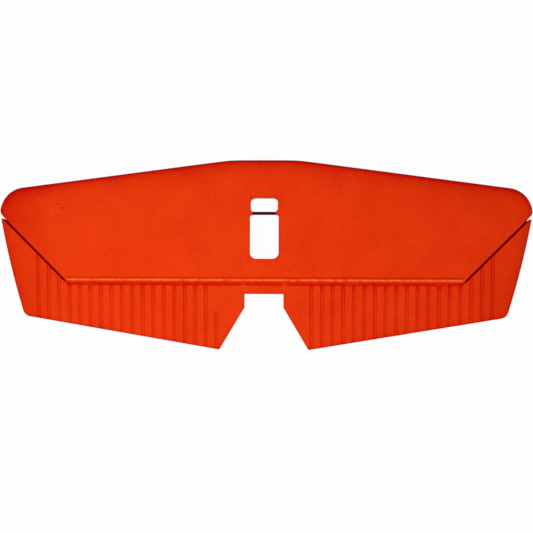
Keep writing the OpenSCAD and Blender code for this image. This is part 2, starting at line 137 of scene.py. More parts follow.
rim_radius = 0.5 * mm
rim_soft = 0.4 * mm
flash_half = 0.03 * mm
flash_root = 0.26 * mm
wall_rise = 30
rim_zone = 7 * mm
rim_points = 18
ripple_height = 0.05 * mm
ripple_length = 14 * mm
under_shift = Vector((0, 0, 5))
weld = 0.001 * mm


def between(a, b, share):
    return a + (b - a) * share


def eased(depth, width):
    """Rises from 0 at an edge to 1 at the given width, like a quarter of an ellipse."""
    share = 1 - max(0, min(1, depth / width))
    return math.sqrt(1 - share * share)


def lesser(a, b, soft):
    """The lesser of two heights, with the crease between them softened."""
    share = max(soft - abs(a - b), 0) / soft
    return min(a, b) - share * share * soft / 4


def swell(distance, width):
    """A rounded bump, 1 at its middle, that fades over the given width."""
    return math.exp(-(distance / width) ** 2)


def rounded_rim(half, depth):
    """The height near an upright wall whose rim is rounded."""
    radius = min(rim_radius, half)
    inside = max(0, min(radius, depth))
    return half - radius + math.sqrt(inside * (2 * radius - inside))


def flash_width(x, end):
    """Width of the fin of flash along a wall of the diagonal cut, which fades out at its end."""
    return cut_flash * max(0, min(1, (end - x) / flash_fade))


def flashed_wall(half, depth, reach):
    """The height near an upright wall with a thin fin of flash along mid-height."""
    wall = flash_half + wall_rise * max(0, depth - reach + flash_root)
    return max(0, lesser(half, wall, rim_soft))


def leading_edge(x):
    run = x - sweep_start
    return stab_chord - math.tan(le_sweep) * (run + math.hypot(run, sweep_blend / 2)) / 2


point = Vector((half_span - balance_inset, balance_reach))
cut_along = Vector((math.cos(cut_angle), math.sin(cut_angle)))
cut_out = Vector((math.sin(cut_angle), -math.cos(cut_angle)))
cut_open = (cut_gap - cut_flash) / math.sin(cut_angle)
cut_foot = point.x - (point.y - lip_set) / math.tan(cut_angle) - cut_open
tip_x = half_span - tip_radius
tip = Vector((tip_x, leading_edge(tip_x) - tip_radius / math.cos(le_sweep)))
heel_depth = cut_out.dot(point) - cut_gap - heel_radius
heel_slide = math.sqrt((tip_radius - heel_radius) ** 2 - (heel_depth - cut_out.dot(tip)) ** 2)
heel = cut_out * heel_depth + cut_along * (cut_along.dot(tip) + heel_slide)
heel_start = heel.x + cut_out.x * heel_radius
tip_end = tip.x + tip_radius * math.cos(math.atan2(heel.y - tip.y, heel.x - tip.x))


def cut_line(x):
    """Front edge of the elevator's balance horn along the diagonal cut."""
    return point.y - (point.x - x) * math.tan(cut_angle)


def stab_front(x):
    if x < tip.x + tip_radius * math.sin(le_sweep):
        return leading_edge(x)
    return tip.y + math.sqrt(max(0, tip_radius ** 2 - (x - tip.x) ** 2))


def stab_wall(x):
    """Rear edge of the stabilizer along the diagonal cut and round the heel of its tip."""
    if x > heel_start:
        return heel.y - math.sqrt(max(0, heel_radius ** 2 - (x - heel.x) ** 2))
    return cut_line(x + (cut_gap - flash_width(x, heel_start)) / math.sin(cut_angle))


def stab_rear(x):
    return max(lip_set, stab_wall(x))


def full_half(x, y):
    """Half of the section's thickness from the hinge line forward, before its edges are thinned."""
    if y < lip_y:
        return hinge_half
    rise = 1 - (1 - min(1, (y - lip_y) / (spar_ahead - lip_y))) ** 2
    return between(hinge_half, between(root_half, tip_half, x / half_span), rise)


def tip_thinned(half, inside):
    return between(min(half, edge_half), half, eased(inside, edge_fade))


def stab_half(x, y):
    front = stab_front(x)
    rear = stab_rear(x)
    half = tip_thinned(full_half(x, y), half_span - x)
    nose = min(nose_length, nose_share * (front - rear))
    half = between(min(half, le_half), half, eased(front - y, nose))
    if y < lip_y:
        roll = math.sqrt(max(0, lip_radius ** 2 - (lip_y - y) ** 2))
        half = max(0, lesser(half, roll, lip_soft))
    if x < cut_foot:
        half -= min(half, crease_depth * swell(y - crease_y, crease_width))
    return flashed_wall(half, (y - stab_wall(x)) * cut_out.x, flash_width(x, heel_start))


def foam_skin(name, stations, rear, front, half, middle_points):
    """Sets a column of a grid at each station along the span and rolls the grid round the section:
    over the top from the rear edge to the front one and back underneath."""
    curve = [1 - math.cos(math.pi / 2 * i / rim_points) for i in range(rim_points + 1)]
    middle = [i / middle_points for i in range(1, middle_points)]
    columns = []
    for station in stations:
        x = abs(station)
        length = front(x) - rear(x)
        rim = min(rim_zone, length / 3)
        depths = [rim * c for c in curve]
        depths += [between(rim, length - rim, m) for m in middle]
        depths += [length - rim * c for c in reversed(curve)]
        top = []
        bottom = []
        for depth in depths:
            y = rear(x) + depth
            height = half(x, y)
            lift = ripple_height * min(1, height / edge_half)
            spot = Vector((station, y, 0)) / ripple_length
            top.append((y, height + lift * noise.noise(spot)))
            bottom.append((y, -height - lift * noise.noise(spot + under_shift)))
        columns.append(top + bottom[::-1])
    around = len(columns[0])
    along = len(stations) - 1
    bpy.ops.object.select_all(action="DESELECT")
    bpy.ops.mesh.primitive_grid_add(x_subdivisions=along, y_subdivisions=around, size=1)
    piece = bpy.context.object
    piece.name = name
    piece.data.name = name
    for vertex in piece.data.vertices:
        column = round((vertex.co.x + 0.5) * along)
        row = round((vertex.co.y + 0.5) * around) % around
        y, z = columns[column][row]
        vertex.co = (stations[column], y + hinge_y, z)
    bpy.ops.object.mode_set(mode="EDIT")
    bpy.ops.mesh.select_all(action="SELECT")
    bpy.ops.mesh.remove_doubles(threshold=weld)
    bpy.ops.mesh.fill_holes(sides=0)
    bpy.ops.mesh.select_all(action="SELECT")
    bpy.ops.mesh.normals_make_consistent(inside=False)
    bpy.ops.object.mode_set(mode="OBJECT")
    return piece


def carve(piece, tool, operation="DIFFERENCE"):
    """Cuts a tool out of a piece, or joins it on, and removes the tool."""
    modifier = piece.modifiers.new("carve", "BOOLEAN")
    modifier.object = tool
    modifier.operation = operation
    modifier.solver = "EXACT"
    bpy.ops.object.select_all(action="DESELECT")
    bpy.context.view_layer.objects.active = piece
    bpy.ops.object.modifier_apply(modifier=modifier.name)
    bpy.data.objects.remove(tool)


corner_segments = 8


def window(width, rear, front, rear_radius, front_radius, low, high):
    """An upright block whose upright edges are rounded, with one radius at each end."""
    bpy.ops.object.select_all(action="DESELECT")
    bpy.ops.mesh.primitive_cube_add(
        size=1,
        location=(0, (rear + front) / 2 + hinge_y, (low + high) / 2),
        scale=(width, front - rear, high - low),
    )
    block = bpy.context.object
    bpy.ops.object.transform_apply(location=True, rotation=True, scale=True)
    middle = (rear + front) / 2 + hinge_y
    for at_front, radius in ((False, rear_radius), (True, front_radius)):
        bpy.ops.object.mode_set(mode="EDIT")
        bpy.ops.mesh.select_all(action="DESELECT")
        bpy.ops.object.mode_set(mode="OBJECT")
        corners = block.data.vertices
        for edge in block.data.edges:
            a, b = (corners[i].co for i in edge.vertices)
            upright = abs(a.z - b.z) > (high - low) / 2
            edge.select = upright and (a.y > middle) == at_front
        bpy.ops.object.mode_set(mode="EDIT")
        bpy.ops.mesh.bevel(offset=radius, segments=corner_segments, affect="EDGES")
        bpy.ops.object.mode_set(mode="OBJECT")
    return block


def steps(start, end, count):
    """Even steps from start to end, both of them included."""
    return [between(start, end, i / count) for i in range(count + 1)]


def mirrored(stations):
    """The right half's stations, from the middle outwards, with the left half's before them."""
    return [-x for x in stations[:0:-1]] + stations


slot_zone = 24 * mm
slot_columns = 20
panel_columns = 64
cut_columns = 36
tip_columns = 26
stab_rows = 56
tip_turn = math.asin((tip_end - tip.x) / tip_radius)
stab_stations = steps(0, slot_zone, slot_columns)[:-1]
stab_stations += steps(slot_zone, cut_foot, panel_columns)[:-1]
stab_stations += steps(cut_foot, tip.x, cut_columns)
stab_stations += [tip.x + tip_radius * math.sin(turn) for turn in steps(0, tip_turn, tip_columns)[1:]]
stab_stations = mirrored(stab_stations)
stabilizer = foam_skin("stabilizer_foam", stab_stations, stab_rear, stab_front, stab_half, stab_rows)

seat_width = 46 * mm
seat_rear = 14 * mm
seat_front = 98 * mm
seat_radius = 8 * mm
seat_face = 7 * mm
seat = window(seat_width, seat_rear, seat_front, seat_radius, seat_radius, -seat_face, 0)
carve(stabilizer, seat, "UNION")

slot_reach = 2 * root_half
slot_front_half = 13 * mm
slot_front_end = 82 * mm
slot_front_radius = 4.5 * mm
slot_rear_half = 13.8 * mm
slot_rear_end = 24.4 * mm
slot_rear_radius = 6 * mm
neck_half = 11.2 * mm
neck_reach = 2 * mm
neck_radius = 0.3 * mm
neck_front_radius = 3 * mm
neck_rear_radius = 2 * mm
slot_windows = (
    (neck_half, spar_ahead - neck_reach, spar_ahead + neck_reach, neck_radius, neck_radius),
    (slot_front_half, spar_ahead + spar_half, slot_front_end, neck_front_radius, slot_front_radius),
    (slot_rear_half, slot_rear_end, spar_ahead - spar_half, slot_rear_radius, neck_rear_radius),
)
for half_width, rear_end, front_end, rear_radius, front_radius in slot_windows:
    opening = window(
        2 * half_width, rear_end, front_end, rear_radius, front_radius, -slot_reach, slot_reach
    )
    carve(stabilizer, opening)

hinge_spots = ("inner", "middle", "outer")
left_hinges = ["left_" + spot for spot in hinge_spots]
right_hinges = ["right_" + spot for spot in hinge_spots]
knuckle_room = 1.6 * mm
pocket_play = 0.2 * mm
pocket_sides = 32


def carve_hinge_pockets(piece, names):
    """Cuts room for the knuckles of each hinge round its pin."""
    for name in names:
        low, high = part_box("hinge_pin_" + name)
        bpy.ops.object.select_all(action="DESELECT")
        bpy.ops.mesh.primitive_cylinder_add(
            vertices=pocket_sides,
            radius=knuckle_room,
            depth=high.x - low.x + pocket_play,
            location=(low + high) / 2,
            rotation=(0, math.pi / 2, 0),
        )
        bpy.ops.object.transform_apply(location=True, rotation=True, scale=True)
        carve(piece, bpy.context.object)


carve_hinge_pockets(stabilizer, left_hinges + right_hinges)


def give(tree, socket, value):
    """Sets a socket to a value, or links it to another node's output."""
    if isinstance(value, bpy.types.NodeSocket):
        tree.links.new(value, socket)
    else:
        socket.default_value = value


def place(tree, kind, inputs=None, **options):
    """Adds a node with its options set and its named or numbered inputs given."""
    new = tree.nodes.new(kind)
    for name, value in options.items():
        setattr(new, name, value)
    for name, value in (inputs or {}).items():
        give(tree, new.inputs[name], value)
    return new


def reckon(tree, operation, *values):
    return place(tree, "ShaderNodeMath", dict(enumerate(values)), operation=operation).outputs[0]


def blend_colours(tree, share, a, b):
    mix = place(tree, "ShaderNodeMix", {0: share, 6: a, 7: b}, data_type="RGBA")
    return mix.outputs[2]


def held(tree, value):
    return place(tree, "ShaderNodeClamp", {"Value": value}).outputs["Result"]


def new_finish(name):
    """Starts a material and returns it with its nodes and its shader."""
    material = bpy.data.materials.new(name)
    material.use_nodes = True
    return material, material.node_tree, material.node_tree.nodes["Principled BSDF"]


def roughen(tree, shader, mask, least, most):
    """Lets a mask set the roughness, from the least to the most."""
    give(tree, shader.inputs["Roughness"], reckon(tree, "MULTIPLY_ADD", mask, most - least, least))


def emboss(tree, shader, height, strength, depth):
    """Gives the surface a fine relief."""
    bump = place(tree, "ShaderNodeBump", {"Height": height, "Strength": strength, "Distance": depth})
    give(tree, shader.inputs["Normal"], bump.outputs["Normal"])


noise_middle = 0.5
cloud_size = 30 * mm
seam_share = 0.16
seam_depth = 0.7
moulded_grain = bpy.data.node_groups.new("moulded_grain", "ShaderNodeTree")
for name in ("Bead Scale", "Pore Scale"):
    moulded_grain.interface.new_socket(name, in_out="INPUT", socket_type="NodeSocketFloat")
for name in ("Seam", "Mottle", "Height"):
    moulded_grain.interface.new_socket(name, in_out="OUTPUT", socket_type="NodeSocketFloat")
grain_sizes = place(moulded_grain, "NodeGroupInput").outputs
grain_coords = place(moulded_grain, "ShaderNodeTexCoord").outputs["Object"]
bead_edges = place(
    moulded_grain,
    "ShaderNodeTexVoronoi",
    {"Vector": grain_coords, "Scale": grain_sizes["Bead Scale"]},
    feature="DISTANCE_TO_EDGE",
).outputs["Distance"]
bead_seam = place(
    moulded_grain,
    "ShaderNodeMapRange",
    {"Value": bead_edges, "From Max": seam_share, "To Min": 1, "To Max": 0},
    interpolation_type="SMOOTHSTEP",
).outputs["Result"]
pores = place(
    moulded_grain,
    "ShaderNodeTexNoise",
    {"Vector": grain_coords, "Scale": grain_sizes["Pore Scale"], "Detail": 2},
).outputs["Fac"]
clouds = place(
    moulded_grain,
    "ShaderNodeTexNoise",
    {"Vector": grain_coords, "Scale": 1 / cloud_size, "Detail": 3},
).outputs["Fac"]
pore_mottle = reckon(moulded_grain, "SUBTRACT", pores, noise_middle)
sunk_seam = reckon(moulded_grain, "MULTIPLY", bead_seam, seam_depth)
place(
    moulded_grain,
    "NodeGroupOutput",
    {
        "Seam": bead_seam,
        "Mottle": reckon(moulded_grain, "ADD", pore_mottle, clouds),
        "Height": reckon(moulded_grain, "SUBTRACT", pores, sunk_seam),
    },
)


def grained(tree, bead_size, pore_size):
    """Puts the grain into a material at its own scale and returns its outputs."""
    sizes = {"Bead Scale": 1 / bead_size, "Pore Scale": 1 / pore_size}
    return place(tree, "ShaderNodeGroup", sizes, node_tree=moulded_grain).outputs


foam_red = (0.835, 0.0425, 0.0035, 1)
# Darker red, for painted shade along edges, creases, grooves and cuts, and for the foam's random
# mottle, bead seams and marks
foam_shade_and_mottle = (0.60, 0.003, 0.0005, 1)
# Darkest red, for painted shade at the outer edges and in the walls of the cut
foam_darkest_shade = (0.30, 0.0005, 0.0005, 1)
# Light orange, a painted highlight along the hinge lip and painted light on the shoulders
foam_painted_highlight = (1.0, 0.17, 0.02, 1)
# Purer, lighter red, painted light low in the hinge valley and on the nose bevel
foam_valley_light = (0.87, 0.027, 0.002, 1)
foam_bead = 3.4 * mm
foam_pore = 2.2 * mm
seam_tone = 0.05
uneven_tone = 0.55
# Attributes for painted shade with darker tone, a painted highlight and painted light in the valley
shade_and_light_tones = ("deep", "worn", "pooled")
foam_paint, foam_tree, foam_shader = new_finish("foam_paint")
foam_grain = grained(foam_tree, foam_bead, foam_pore)
deep, worn, pooled = (
    place(foam_tree, "ShaderNodeAttribute", attribute_name=tone).outputs["Fac"] for tone in shade_and_light_tones
)
deep = reckon(foam_tree, "MULTIPLY_ADD", foam_grain["Seam"], seam_tone, deep)
unevenness = reckon(foam_tree, "SUBTRACT", foam_grain["Mottle"], noise_middle)
deep = reckon(foam_tree, "MULTIPLY_ADD", unevenness, uneven_tone, deep)

# Marks on the top of the stabilizer, each at x and y from the hinge line with its length,
# width, turn and depth of tone
foam_coords = place(foam_tree, "ShaderNodeTexCoord").outputs["Object"]
mark_reach = 4 * mm
for x, y, length, width, turn, depth in (
    (-191.5 * mm, 72.0 * mm, 4.0 * mm, 1.0 * mm, math.radians(8), 1.0),
    (-197 * mm, 75.5 * mm, 6.0 * mm, 0.7 * mm, math.radians(-3), 0.6),
):
    local = place(
        foam_tree,
        "ShaderNodeMapping",
        {
            "Vector": foam_coords,
            "Location": (x, y + hinge_y, tip_half),
            "Rotation": (0, 0, turn),
            "Scale": (length, width, mark_reach),
        },
        vector_type="TEXTURE",
    ).outputs["Vector"]
    mark = place(foam_tree, "ShaderNodeTexGradient", {"Vector": local}, gradient_type="SPHERICAL")
    deep = reckon(foam_tree, "MULTIPLY_ADD", mark.outputs["Fac"], depth, deep)

# The painted highlight along the lip is broken into patches
patch_size = 5 * mm
patch_gain = 5
patch_cut = 1.5
highlight_patches = place(
    foam_tree,
    "ShaderNodeTexNoise",
    {"Vector": foam_coords, "Scale": 1 / patch_size, "Detail": 3},
).outputs["Fac"]
highlight_patches = reckon(foam_tree, "MULTIPLY_ADD", highlight_patches, patch_gain, -patch_cut)
worn = held(foam_tree, reckon(foam_tree, "MULTIPLY", worn, highlight_patches))
# Painted shade and the foam's own mottle, seams and marks darken the red
painted = blend_colours(foam_tree, held(foam_tree, deep), foam_red, foam_shade_and_mottle)
# Where the painted shade is deepest it goes on to the darkest red
dark = held(foam_tree, reckon(foam_tree, "SUBTRACT", deep, 1))
painted = blend_colours(foam_tree, dark, painted, foam_darkest_shade)
# Painted light in the hinge valley
painted = blend_colours(foam_tree, pooled, painted, foam_valley_light)
# The painted highlight goes on last
give(foam_tree, foam_shader.inputs["Base Color"], blend_colours(foam_tree, worn, painted, foam_painted_highlight))
roughen(foam_tree, foam_shader, foam_grain["Mottle"], least=0.45, most=0.65)
foam_shader.inputs["Specular IOR Level"].default_value = 0.12
foam_shader.inputs["Specular Tint"].default_value = (1, 0.35, 0.1, 1)
emboss(foam_tree, foam_shader, foam_grain["Height"], strength=0.35, depth=0.12 * mm)
smooth_angle = math.radians(40)


def finish_foam(piece, body, tone, node):
    """Smooths a moulding, marks where it gets painted shade with darker tone, a painted highlight or
    painted light, and sets it on its body.
    """
    bpy.ops.object.select_all(action="DESELECT")
    piece.select_set(True)
    bpy.context.view_layer.objects.active = piece
    bpy.ops.object.shade_smooth_by_angle(angle=smooth_angle)
    marks = [piece.data.attributes.new(name, "FLOAT", "POINT") for name in shade_and_light_tones]
    for vertex in piece.data.vertices:
        x, y, z = vertex.co
        for mark, value in zip(marks, tone(x, y - hinge_y)):
            mark.data[vertex.index].value = value
    piece.data.materials.clear()
    piece.data.materials.append(foam_paint)
    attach(piece, body)
    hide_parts(node)


def ramp(value):
    return max(0, min(1, value))


def fading(tone, distance, spread):
    """A tone that is full at an edge and dies away from it."""
    return tone * math.exp(-distance / spread)


# Painted shade that grows from left to right, and a darker tone towards the tips
falloff_shade = 0.11
tip_share = 0.8
tip_deep = 1.3
tip_lean = 0.9


def side_tone(x):
    """Painted shade that grows a little from left to right, away from the lamp, and a darker tone
    towards both tips, the left one more.
    """
    across = x / half_span
    outer = max(0, abs(across) - tip_share)
    return falloff_shade * (1 + across) + outer * (tip_deep - tip_lean * across)


def slot_inside(x, y):
    """Distance of a point of the skin from the slot's outline."""
    half_width = slot_front_half if y > spar_ahead else slot_rear_half
    along = max(slot_rear_end - y, y - slot_front_end)
    return math.hypot(max(0, x - half_width), max(0, along))


# Painted shade in the diagonal cut
wall_shade = 1.45
wall_line = 0.42 * mm
wall_soft = 0.35 * mm
wall_foot = 2.2 * mm
valley_soft = 1.2 * mm


def wall_shadow(wall, flash, y):
    """Painted shade on the walls of the diagonal cut, up to a line just over their rims."""
    line = ramp((flash + wall_line - wall) / wall_soft)
    return wall_shade * line * ramp((y - wall_foot) / valley_soft)


left_tip_deep = 0.22
left_tip_fade = 0.15
edge_shade = 1.5
edge_spread = 1.3 * mm
nose_shade = 0.75
nose_spread = 8 * mm
tip_least = 0.2
slot_deep = 0.3
rim_spread = 1.2 * mm
cut_margin = 2 * mm
crease_shade = 0.8
lip_spread = 0.7 * mm
valley_shade = 0.35
valley_y = 3.6 * mm
lip_highlight_y = 4.1 * mm
shoulder_light = 0.35
shoulder_light_y = 2.2 * mm
valley_light_y = 2.7 * mm
valley_light_soft = 1 * mm


def stab_tone(x, y):
    """Painted shade along the edges, the crease, the valley and the cut, darker round the slot, a
    painted highlight along the lip and painted light low in the valley behind it.
    """
    side = side_tone(x) + left_tip_deep * ramp((-x / half_span - tip_share) / left_tip_fade)
    x = abs(x)
    inside = (leading_edge(x) - y) * math.cos(le_sweep)
    forward = 1
    from_tip = Vector((x, y)) - tip
    if from_tip.x > 0 and from_tip.y > -from_tip.x:
        inside = min(inside, tip_radius - from_tip.length)
        forward = max(tip_least, from_tip.y / from_tip.length)
    inside = max(0, inside)
    # Painted shade where the leading edge and the tip's edge turn away from the lamp, and a darker
    # tone round the slot's rim
    spot_shade_and_tone = side + fading(edge_shade, inside, edge_spread)
    spot_shade_and_tone += fading(nose_shade * forward, inside, nose_spread)
    spot_shade_and_tone += fading(slot_deep, slot_inside(x, y), rim_spread)
    if x > cut_foot + cut_margin:
        wall = max(0, (y - stab_rear(x)) * cut_out.x)
        return spot_shade_and_tone + wall_shadow(wall, flash_width(x, heel_start), y), 0, 0
    # Painted shade in the crease ahead of the lip and in the valley behind it
    spot_shade_and_tone += crease_shade * swell(y - crease_y, lip_spread)
    spot_shade_and_tone += valley_shade * ramp((valley_y - y) / valley_soft)
    # A painted highlight along the lip, and painted light where the shoulders rise
    spot_highlight = swell(y - lip_highlight_y, lip_spread)
    if shoulder_start < x < shoulder_end:
        spot_highlight = max(spot_highlight, shoulder_light * ramp((shoulder_light_y - y) / valley_light_soft))
    # Painted light low in the valley
    return spot_shade_and_tone, spot_highlight, ramp((valley_light_y - y) / valley_light_soft)


finish_foam(stabilizer, "stabilizer", stab_tone, "stabilizer")


# Elevator halves
# Two mouldings of the same foam that swing on the hinges behind the stabilizer. Stiffening grooves
# run along the chord, the nose is bevelled so that it can swing, and each half ends in a balance
# horn ahead of the hinge line.
elevator_chord = 62 * mm
te_sweep = math.radians(9.6)
te_half = 1.3 * mm
point_radius = 1.2 * mm
edge_lean = math.radians(10.3)
edge_bow = 725 * mm
corner_radius = 8.5 * mm
nose_y = 0.698 * mm
nose_half = 0.03 * mm
bevel_set = 1.4 * mm
bevel_soft = 0.5 * mm
notch_half = 18.6 * mm
notch_front = 9 * mm
notch_flare = 22 * mm
mouth_half = 42.3 * mm
shoulder_y = -0.12 * mm
groove_pitch = 10 * mm
groove_first = 45 * mm
groove_count = 18
groove_depth = 0.9 * mm
groove_tail = 0.45 * mm
groove_floor = 1.1 * mm
groove_half = 1.75 * mm
groove_soft = 0.3 * mm
pad_depth = 26 * mm
groove_xs = [groove_first + groove_pitch * i for i in range(groove_count)]


def trailing_edge(x):
    return (x - mouth_half) * math.tan(te_sweep) - elevator_chord


def side_x(y):
    down = balance_reach - y
    return point.x - down * math.tan(edge_lean) - down * down / (2 * edge_bow)


def side_y(x):
    lean = math.tan(edge_lean)
    return balance_reach - edge_bow * (math.sqrt(lean * lean + 2 * (point.x - x) / edge_bow) - lean)


# The side edge and the trailing edge are brought together step by step
corner_steps = 8
corner = Vector((half_span, trailing_edge(half_span)))
for step in range(corner_steps):
    corner.x = side_x(corner.y)
    corner.y = trailing_edge(corner.x)
corner_lean = math.atan(math.tan(edge_lean) + (balance_reach - corner.y) / edge_bow)
te_inward = Vector((-math.cos(te_sweep), -math.sin(te_sweep)))
edge_upward = Vector((math.sin(corner_lean), math.cos(corner_lean)))
corner_open = te_inward.angle(edge_upward) / 2
corner_in = corner + te_inward * corner_radius / math.tan(corner_open)
corner_top = corner + edge_upward * corner_radius / math.tan(corner_open)
corner_middle = corner + (te_inward + edge_upward).normalized() * corner_radius / math.sin(corner_open)
point_half = (math.pi / 2 - cut_angle - edge_lean) / 2
point_run = point_radius / math.tan(point_half)
point_front = point - cut_along * point_run
point_side = point - Vector((math.sin(edge_lean), math.cos(edge_lean))) * point_run
point_middle = point_front + cut_out * point_radius
point_share = 0.98
horn_end = point_middle.x + point_share * point_radius
horn_foot = point.x - (point.y - nose_y) / math.tan(cut_angle) - cut_flash / math.sin(cut_angle)


def elevator_front(x):
    if x > point_front.x:
        return point_middle.y + math.sqrt(max(0, point_radius ** 2 - (x - point_middle.x) ** 2))
    return max(nose_y, cut_line(x + flash_width(x, point_front.x) / math.sin(cut_angle)))


def elevator_rear(x):
    if x < mouth_half:
        return between(-notch_flare, -elevator_chord, (x - notch_half) / (mouth_half - notch_half))
    if x < corner_in.x:
        return trailing_edge(x)
    if x < corner_top.x:
        return corner_middle.y - math.sqrt(max(0, corner_radius ** 2 - (x - corner_middle.x) ** 2))
    if x < point_side.x:
        return side_y(x)
    return point_middle.y - math.sqrt(max(0, point_radius ** 2 - (x - point_middle.x) ** 2))


def groove_height(x, y, padded):
    """Height of the nearest groove's floor and walls at a point of the skin."""
    number = max(0, min(groove_count - 1, round((x - groove_first) / groove_pitch)))
    front = hinge_half - groove_depth
    fall = (front - te_half + groove_tail) / (-bevel_set - trailing_edge(x))
    floor = front + fall * min(0, y + bevel_set)
    away = abs(x - groove_xs[number]) - groove_floor
    wall = max(0, away) * groove_depth / (groove_half - groove_floor)
    stop = max(0, y + pad_depth) if padded and number == 0 else 0
    return floor + wall + stop


def tapered_half(x, y):
    """Half of the elevator's thickness behind the nose bevel, before its edges are thinned."""
    tail = trailing_edge(x)
    return between(te_half, hinge_half, (y - tail) / (-bevel_set - tail))


def bevelled(half, y):
    slope = (hinge_half - nose_half) / (nose_y + bevel_set)
    return lesser(half, nose_half + slope * (nose_y - y), bevel_soft)


slope_step = 0.1 * mm


def elevator_half(x, y, padded=False):
    rear = elevator_rear(x)
    front = elevator_front(x)
    half = tapered_half(x, y) if y < -bevel_set else full_half(x, y)
    half = tip_thinned(half, side_x(y) - x)
    half = lesser(half, groove_height(x, y, padded), groove_soft)
    if x < shoulder_end:
        half = flashed_wall(half, front - y, nose_y - shoulder_y)
    elif front == nose_y:
        half = bevelled(half, y)
    else:
        half = flashed_wall(half, (front - y) * cut_out.x, flash_width(x, point_front.x))
    rise = (elevator_rear(x + slope_step) - rear) / slope_step
    return rounded_rim(max(0, half), (y - rear) / math.hypot(1, rise))


# Stations across a groove, closest where its walls bend, with one halfway to the next groove
groove_steps = [mm * d for d in (-3.4, -2.4, -2, -1.7, -1.45, -1.2, -0.95, -0.5, 0)]
groove_steps += [-d for d in groove_steps[-2::-1]] + [groove_pitch / 2]
groove_stations = [x + d for x in groove_xs for d in groove_steps]
shoulder_step = 0.1 * mm
mouth_step = 1 * mm
shoulder_columns = 4
mouth_columns = 16
end_columns = 24
horn_columns = 40
elevator_rows = 24
elevator_stations = steps(notch_half, shoulder_end - shoulder_step, shoulder_columns)
elevator_stations += steps(shoulder_end, mouth_half - mouth_step, mouth_columns)
elevator_stations += [x for x in groove_stations if x > mouth_half - mouth_step / 2]
elevator_stations += steps(groove_stations[-1], corner_top.x, end_columns)[1:]
horn_turns = steps(0, math.pi / 2, horn_columns)[1:]
elevator_stations += [between(corner_top.x, horn_end, math.sin(turn)) for turn in horn_turns]
elevator_stations = sorted(elevator_stations + [horn_foot])
elevator_right = foam_skin(
    "elevator_right_foam",
    elevator_stations,
    elevator_rear,
    elevator_front,
    elevator_half,
    elevator_rows,
)
elevator_left = foam_skin(
    "elevator_left_foam",
    [-x for x in reversed(elevator_stations)],
    elevator_rear,
    elevator_front,
    lambda x, y: elevator_half(x, y, padded=True),
    elevator_rows,
)
carve_hinge_pockets(elevator_left, left_hinges)
carve_hinge_pockets(elevator_right, right_hinges)


def from_groove(x, y, padded):
    """Distance from the middle of the nearest groove, which stops short of the smooth pad."""
    number = max(0, min(groove_count - 1, round((x - groove_first) / groove_pitch)))
    if padded and number == 0 and y > -pad_depth:
        return groove_pitch
    return abs(x - groove_xs[number])


groove_wall_shade = 0.24
groove_wall_at = 1.45 * mm
groove_wall_spread = 0.5 * mm
groove_floor_shade = 0.22
groove_end_shade = 0.55
groove_end_y = -1 * mm
groove_end_spread = 3.2 * mm


def groove_shade(away, x, y):
    """Painted shade in the grooves, most of all along their walls and at the hinge line."""
    tone = groove_wall_shade * swell(away - groove_wall_at, groove_wall_spread)
    if away > groove_half:
        return tone
    tone += groove_floor_shade
    if x > cut_foot:
        return tone
    return tone + fading(groove_end_shade, abs(y - groove_end_y), groove_end_spread)


# Painted light on the nose bevel
bevel_light_set = 0.2 * mm
bevel_light_soft = 0.6 * mm
shoulder_drop = 0.4 * mm


def valley_lightening(y, on_bevel):
    """Painted light on the nose bevel, and a painted highlight where the face of a shoulder drops to
    the flash.
    """
    if on_bevel:
        return 0, ramp((y + bevel_set + bevel_light_set) / bevel_light_soft)
    return shoulder_light * ramp((y + shoulder_drop) / shoulder_drop), 0


horn_deep = 0.1
horn_fade = 20 * mm
outline_shade = 1.2
outline_spread = 0.7 * mm
border_shade = 0.2
border_spread = 3 * mm
notch_deep = 0.5
groove_light_share = 0.5


def elevator_tone(x, y):
    """Painted shade along the edges, the cut and in the grooves, and a darker tone round the notch and
    on the balance horn.
    """
    side = side_tone(x)
    padded = x < 0
    x = abs(x)
    inside = min((y - trailing_edge(x)) * math.cos(te_sweep), (side_x(y) - x) * math.cos(edge_lean))
    inside = max(0, inside)
    away = from_groove(x, y, padded)
    spot_shade_and_tone = side + groove_shade(away, x, y) + horn_deep * ramp((x - cut_foot) / horn_fade)
    # Painted shade along the outline, narrow and dark, then wide and faint
    spot_shade_and_tone += fading(outline_shade, inside, outline_spread)
    spot_shade_and_tone += fading(border_shade, inside, border_spread)
    flared = max(0, (y + notch_flare) / (notch_flare - elevator_chord))
    notch_side = between(notch_half, mouth_half, flared)
    beside = math.hypot(max(0, x - notch_side), max(0, y + notch_front))
    spot_shade_and_tone += fading(notch_deep, beside, rim_spread)
    if x > cut_foot:
        wall = max(0, (elevator_front(x) - y) * cut_out.x)
        return spot_shade_and_tone + wall_shadow(wall, flash_width(x, point_front.x), y), 0, 0
    spot_highlight, spot_valley_light = valley_lightening(y, x > shoulder_end)
    return spot_shade_and_tone, spot_highlight, spot_valley_light * (1 if away > groove_half else groove_light_share)


finish_foam(elevator_right, "elevator", elevator_tone, "elevator_right")
finish_foam(elevator_left, "elevator", elevator_tone, "elevator_left")


# Elevator bridge
# The strip of the same foam that joins the two halves ahead of the rudder notch. It is glued round
# the joiner rod and to the ends of the halves, so the three mouldings turn as one.
bridge_seam = 0.02 * mm
bridge_end = notch_half - bridge_seam


def bridge_front(x):
    return nose_y


def bridge_rear(x):
    return -notch_front


def bridge_half(x, y):
    half = tapered_half(notch_half, y) if y < -bevel_set else hinge_half
    if x < shoulder_start:
        half = bevelled(half, y)
    else:
        half = flashed_wall(half, nose_y - y, nose_y - shoulder_y)
    return rounded_rim(half, y + notch_front)


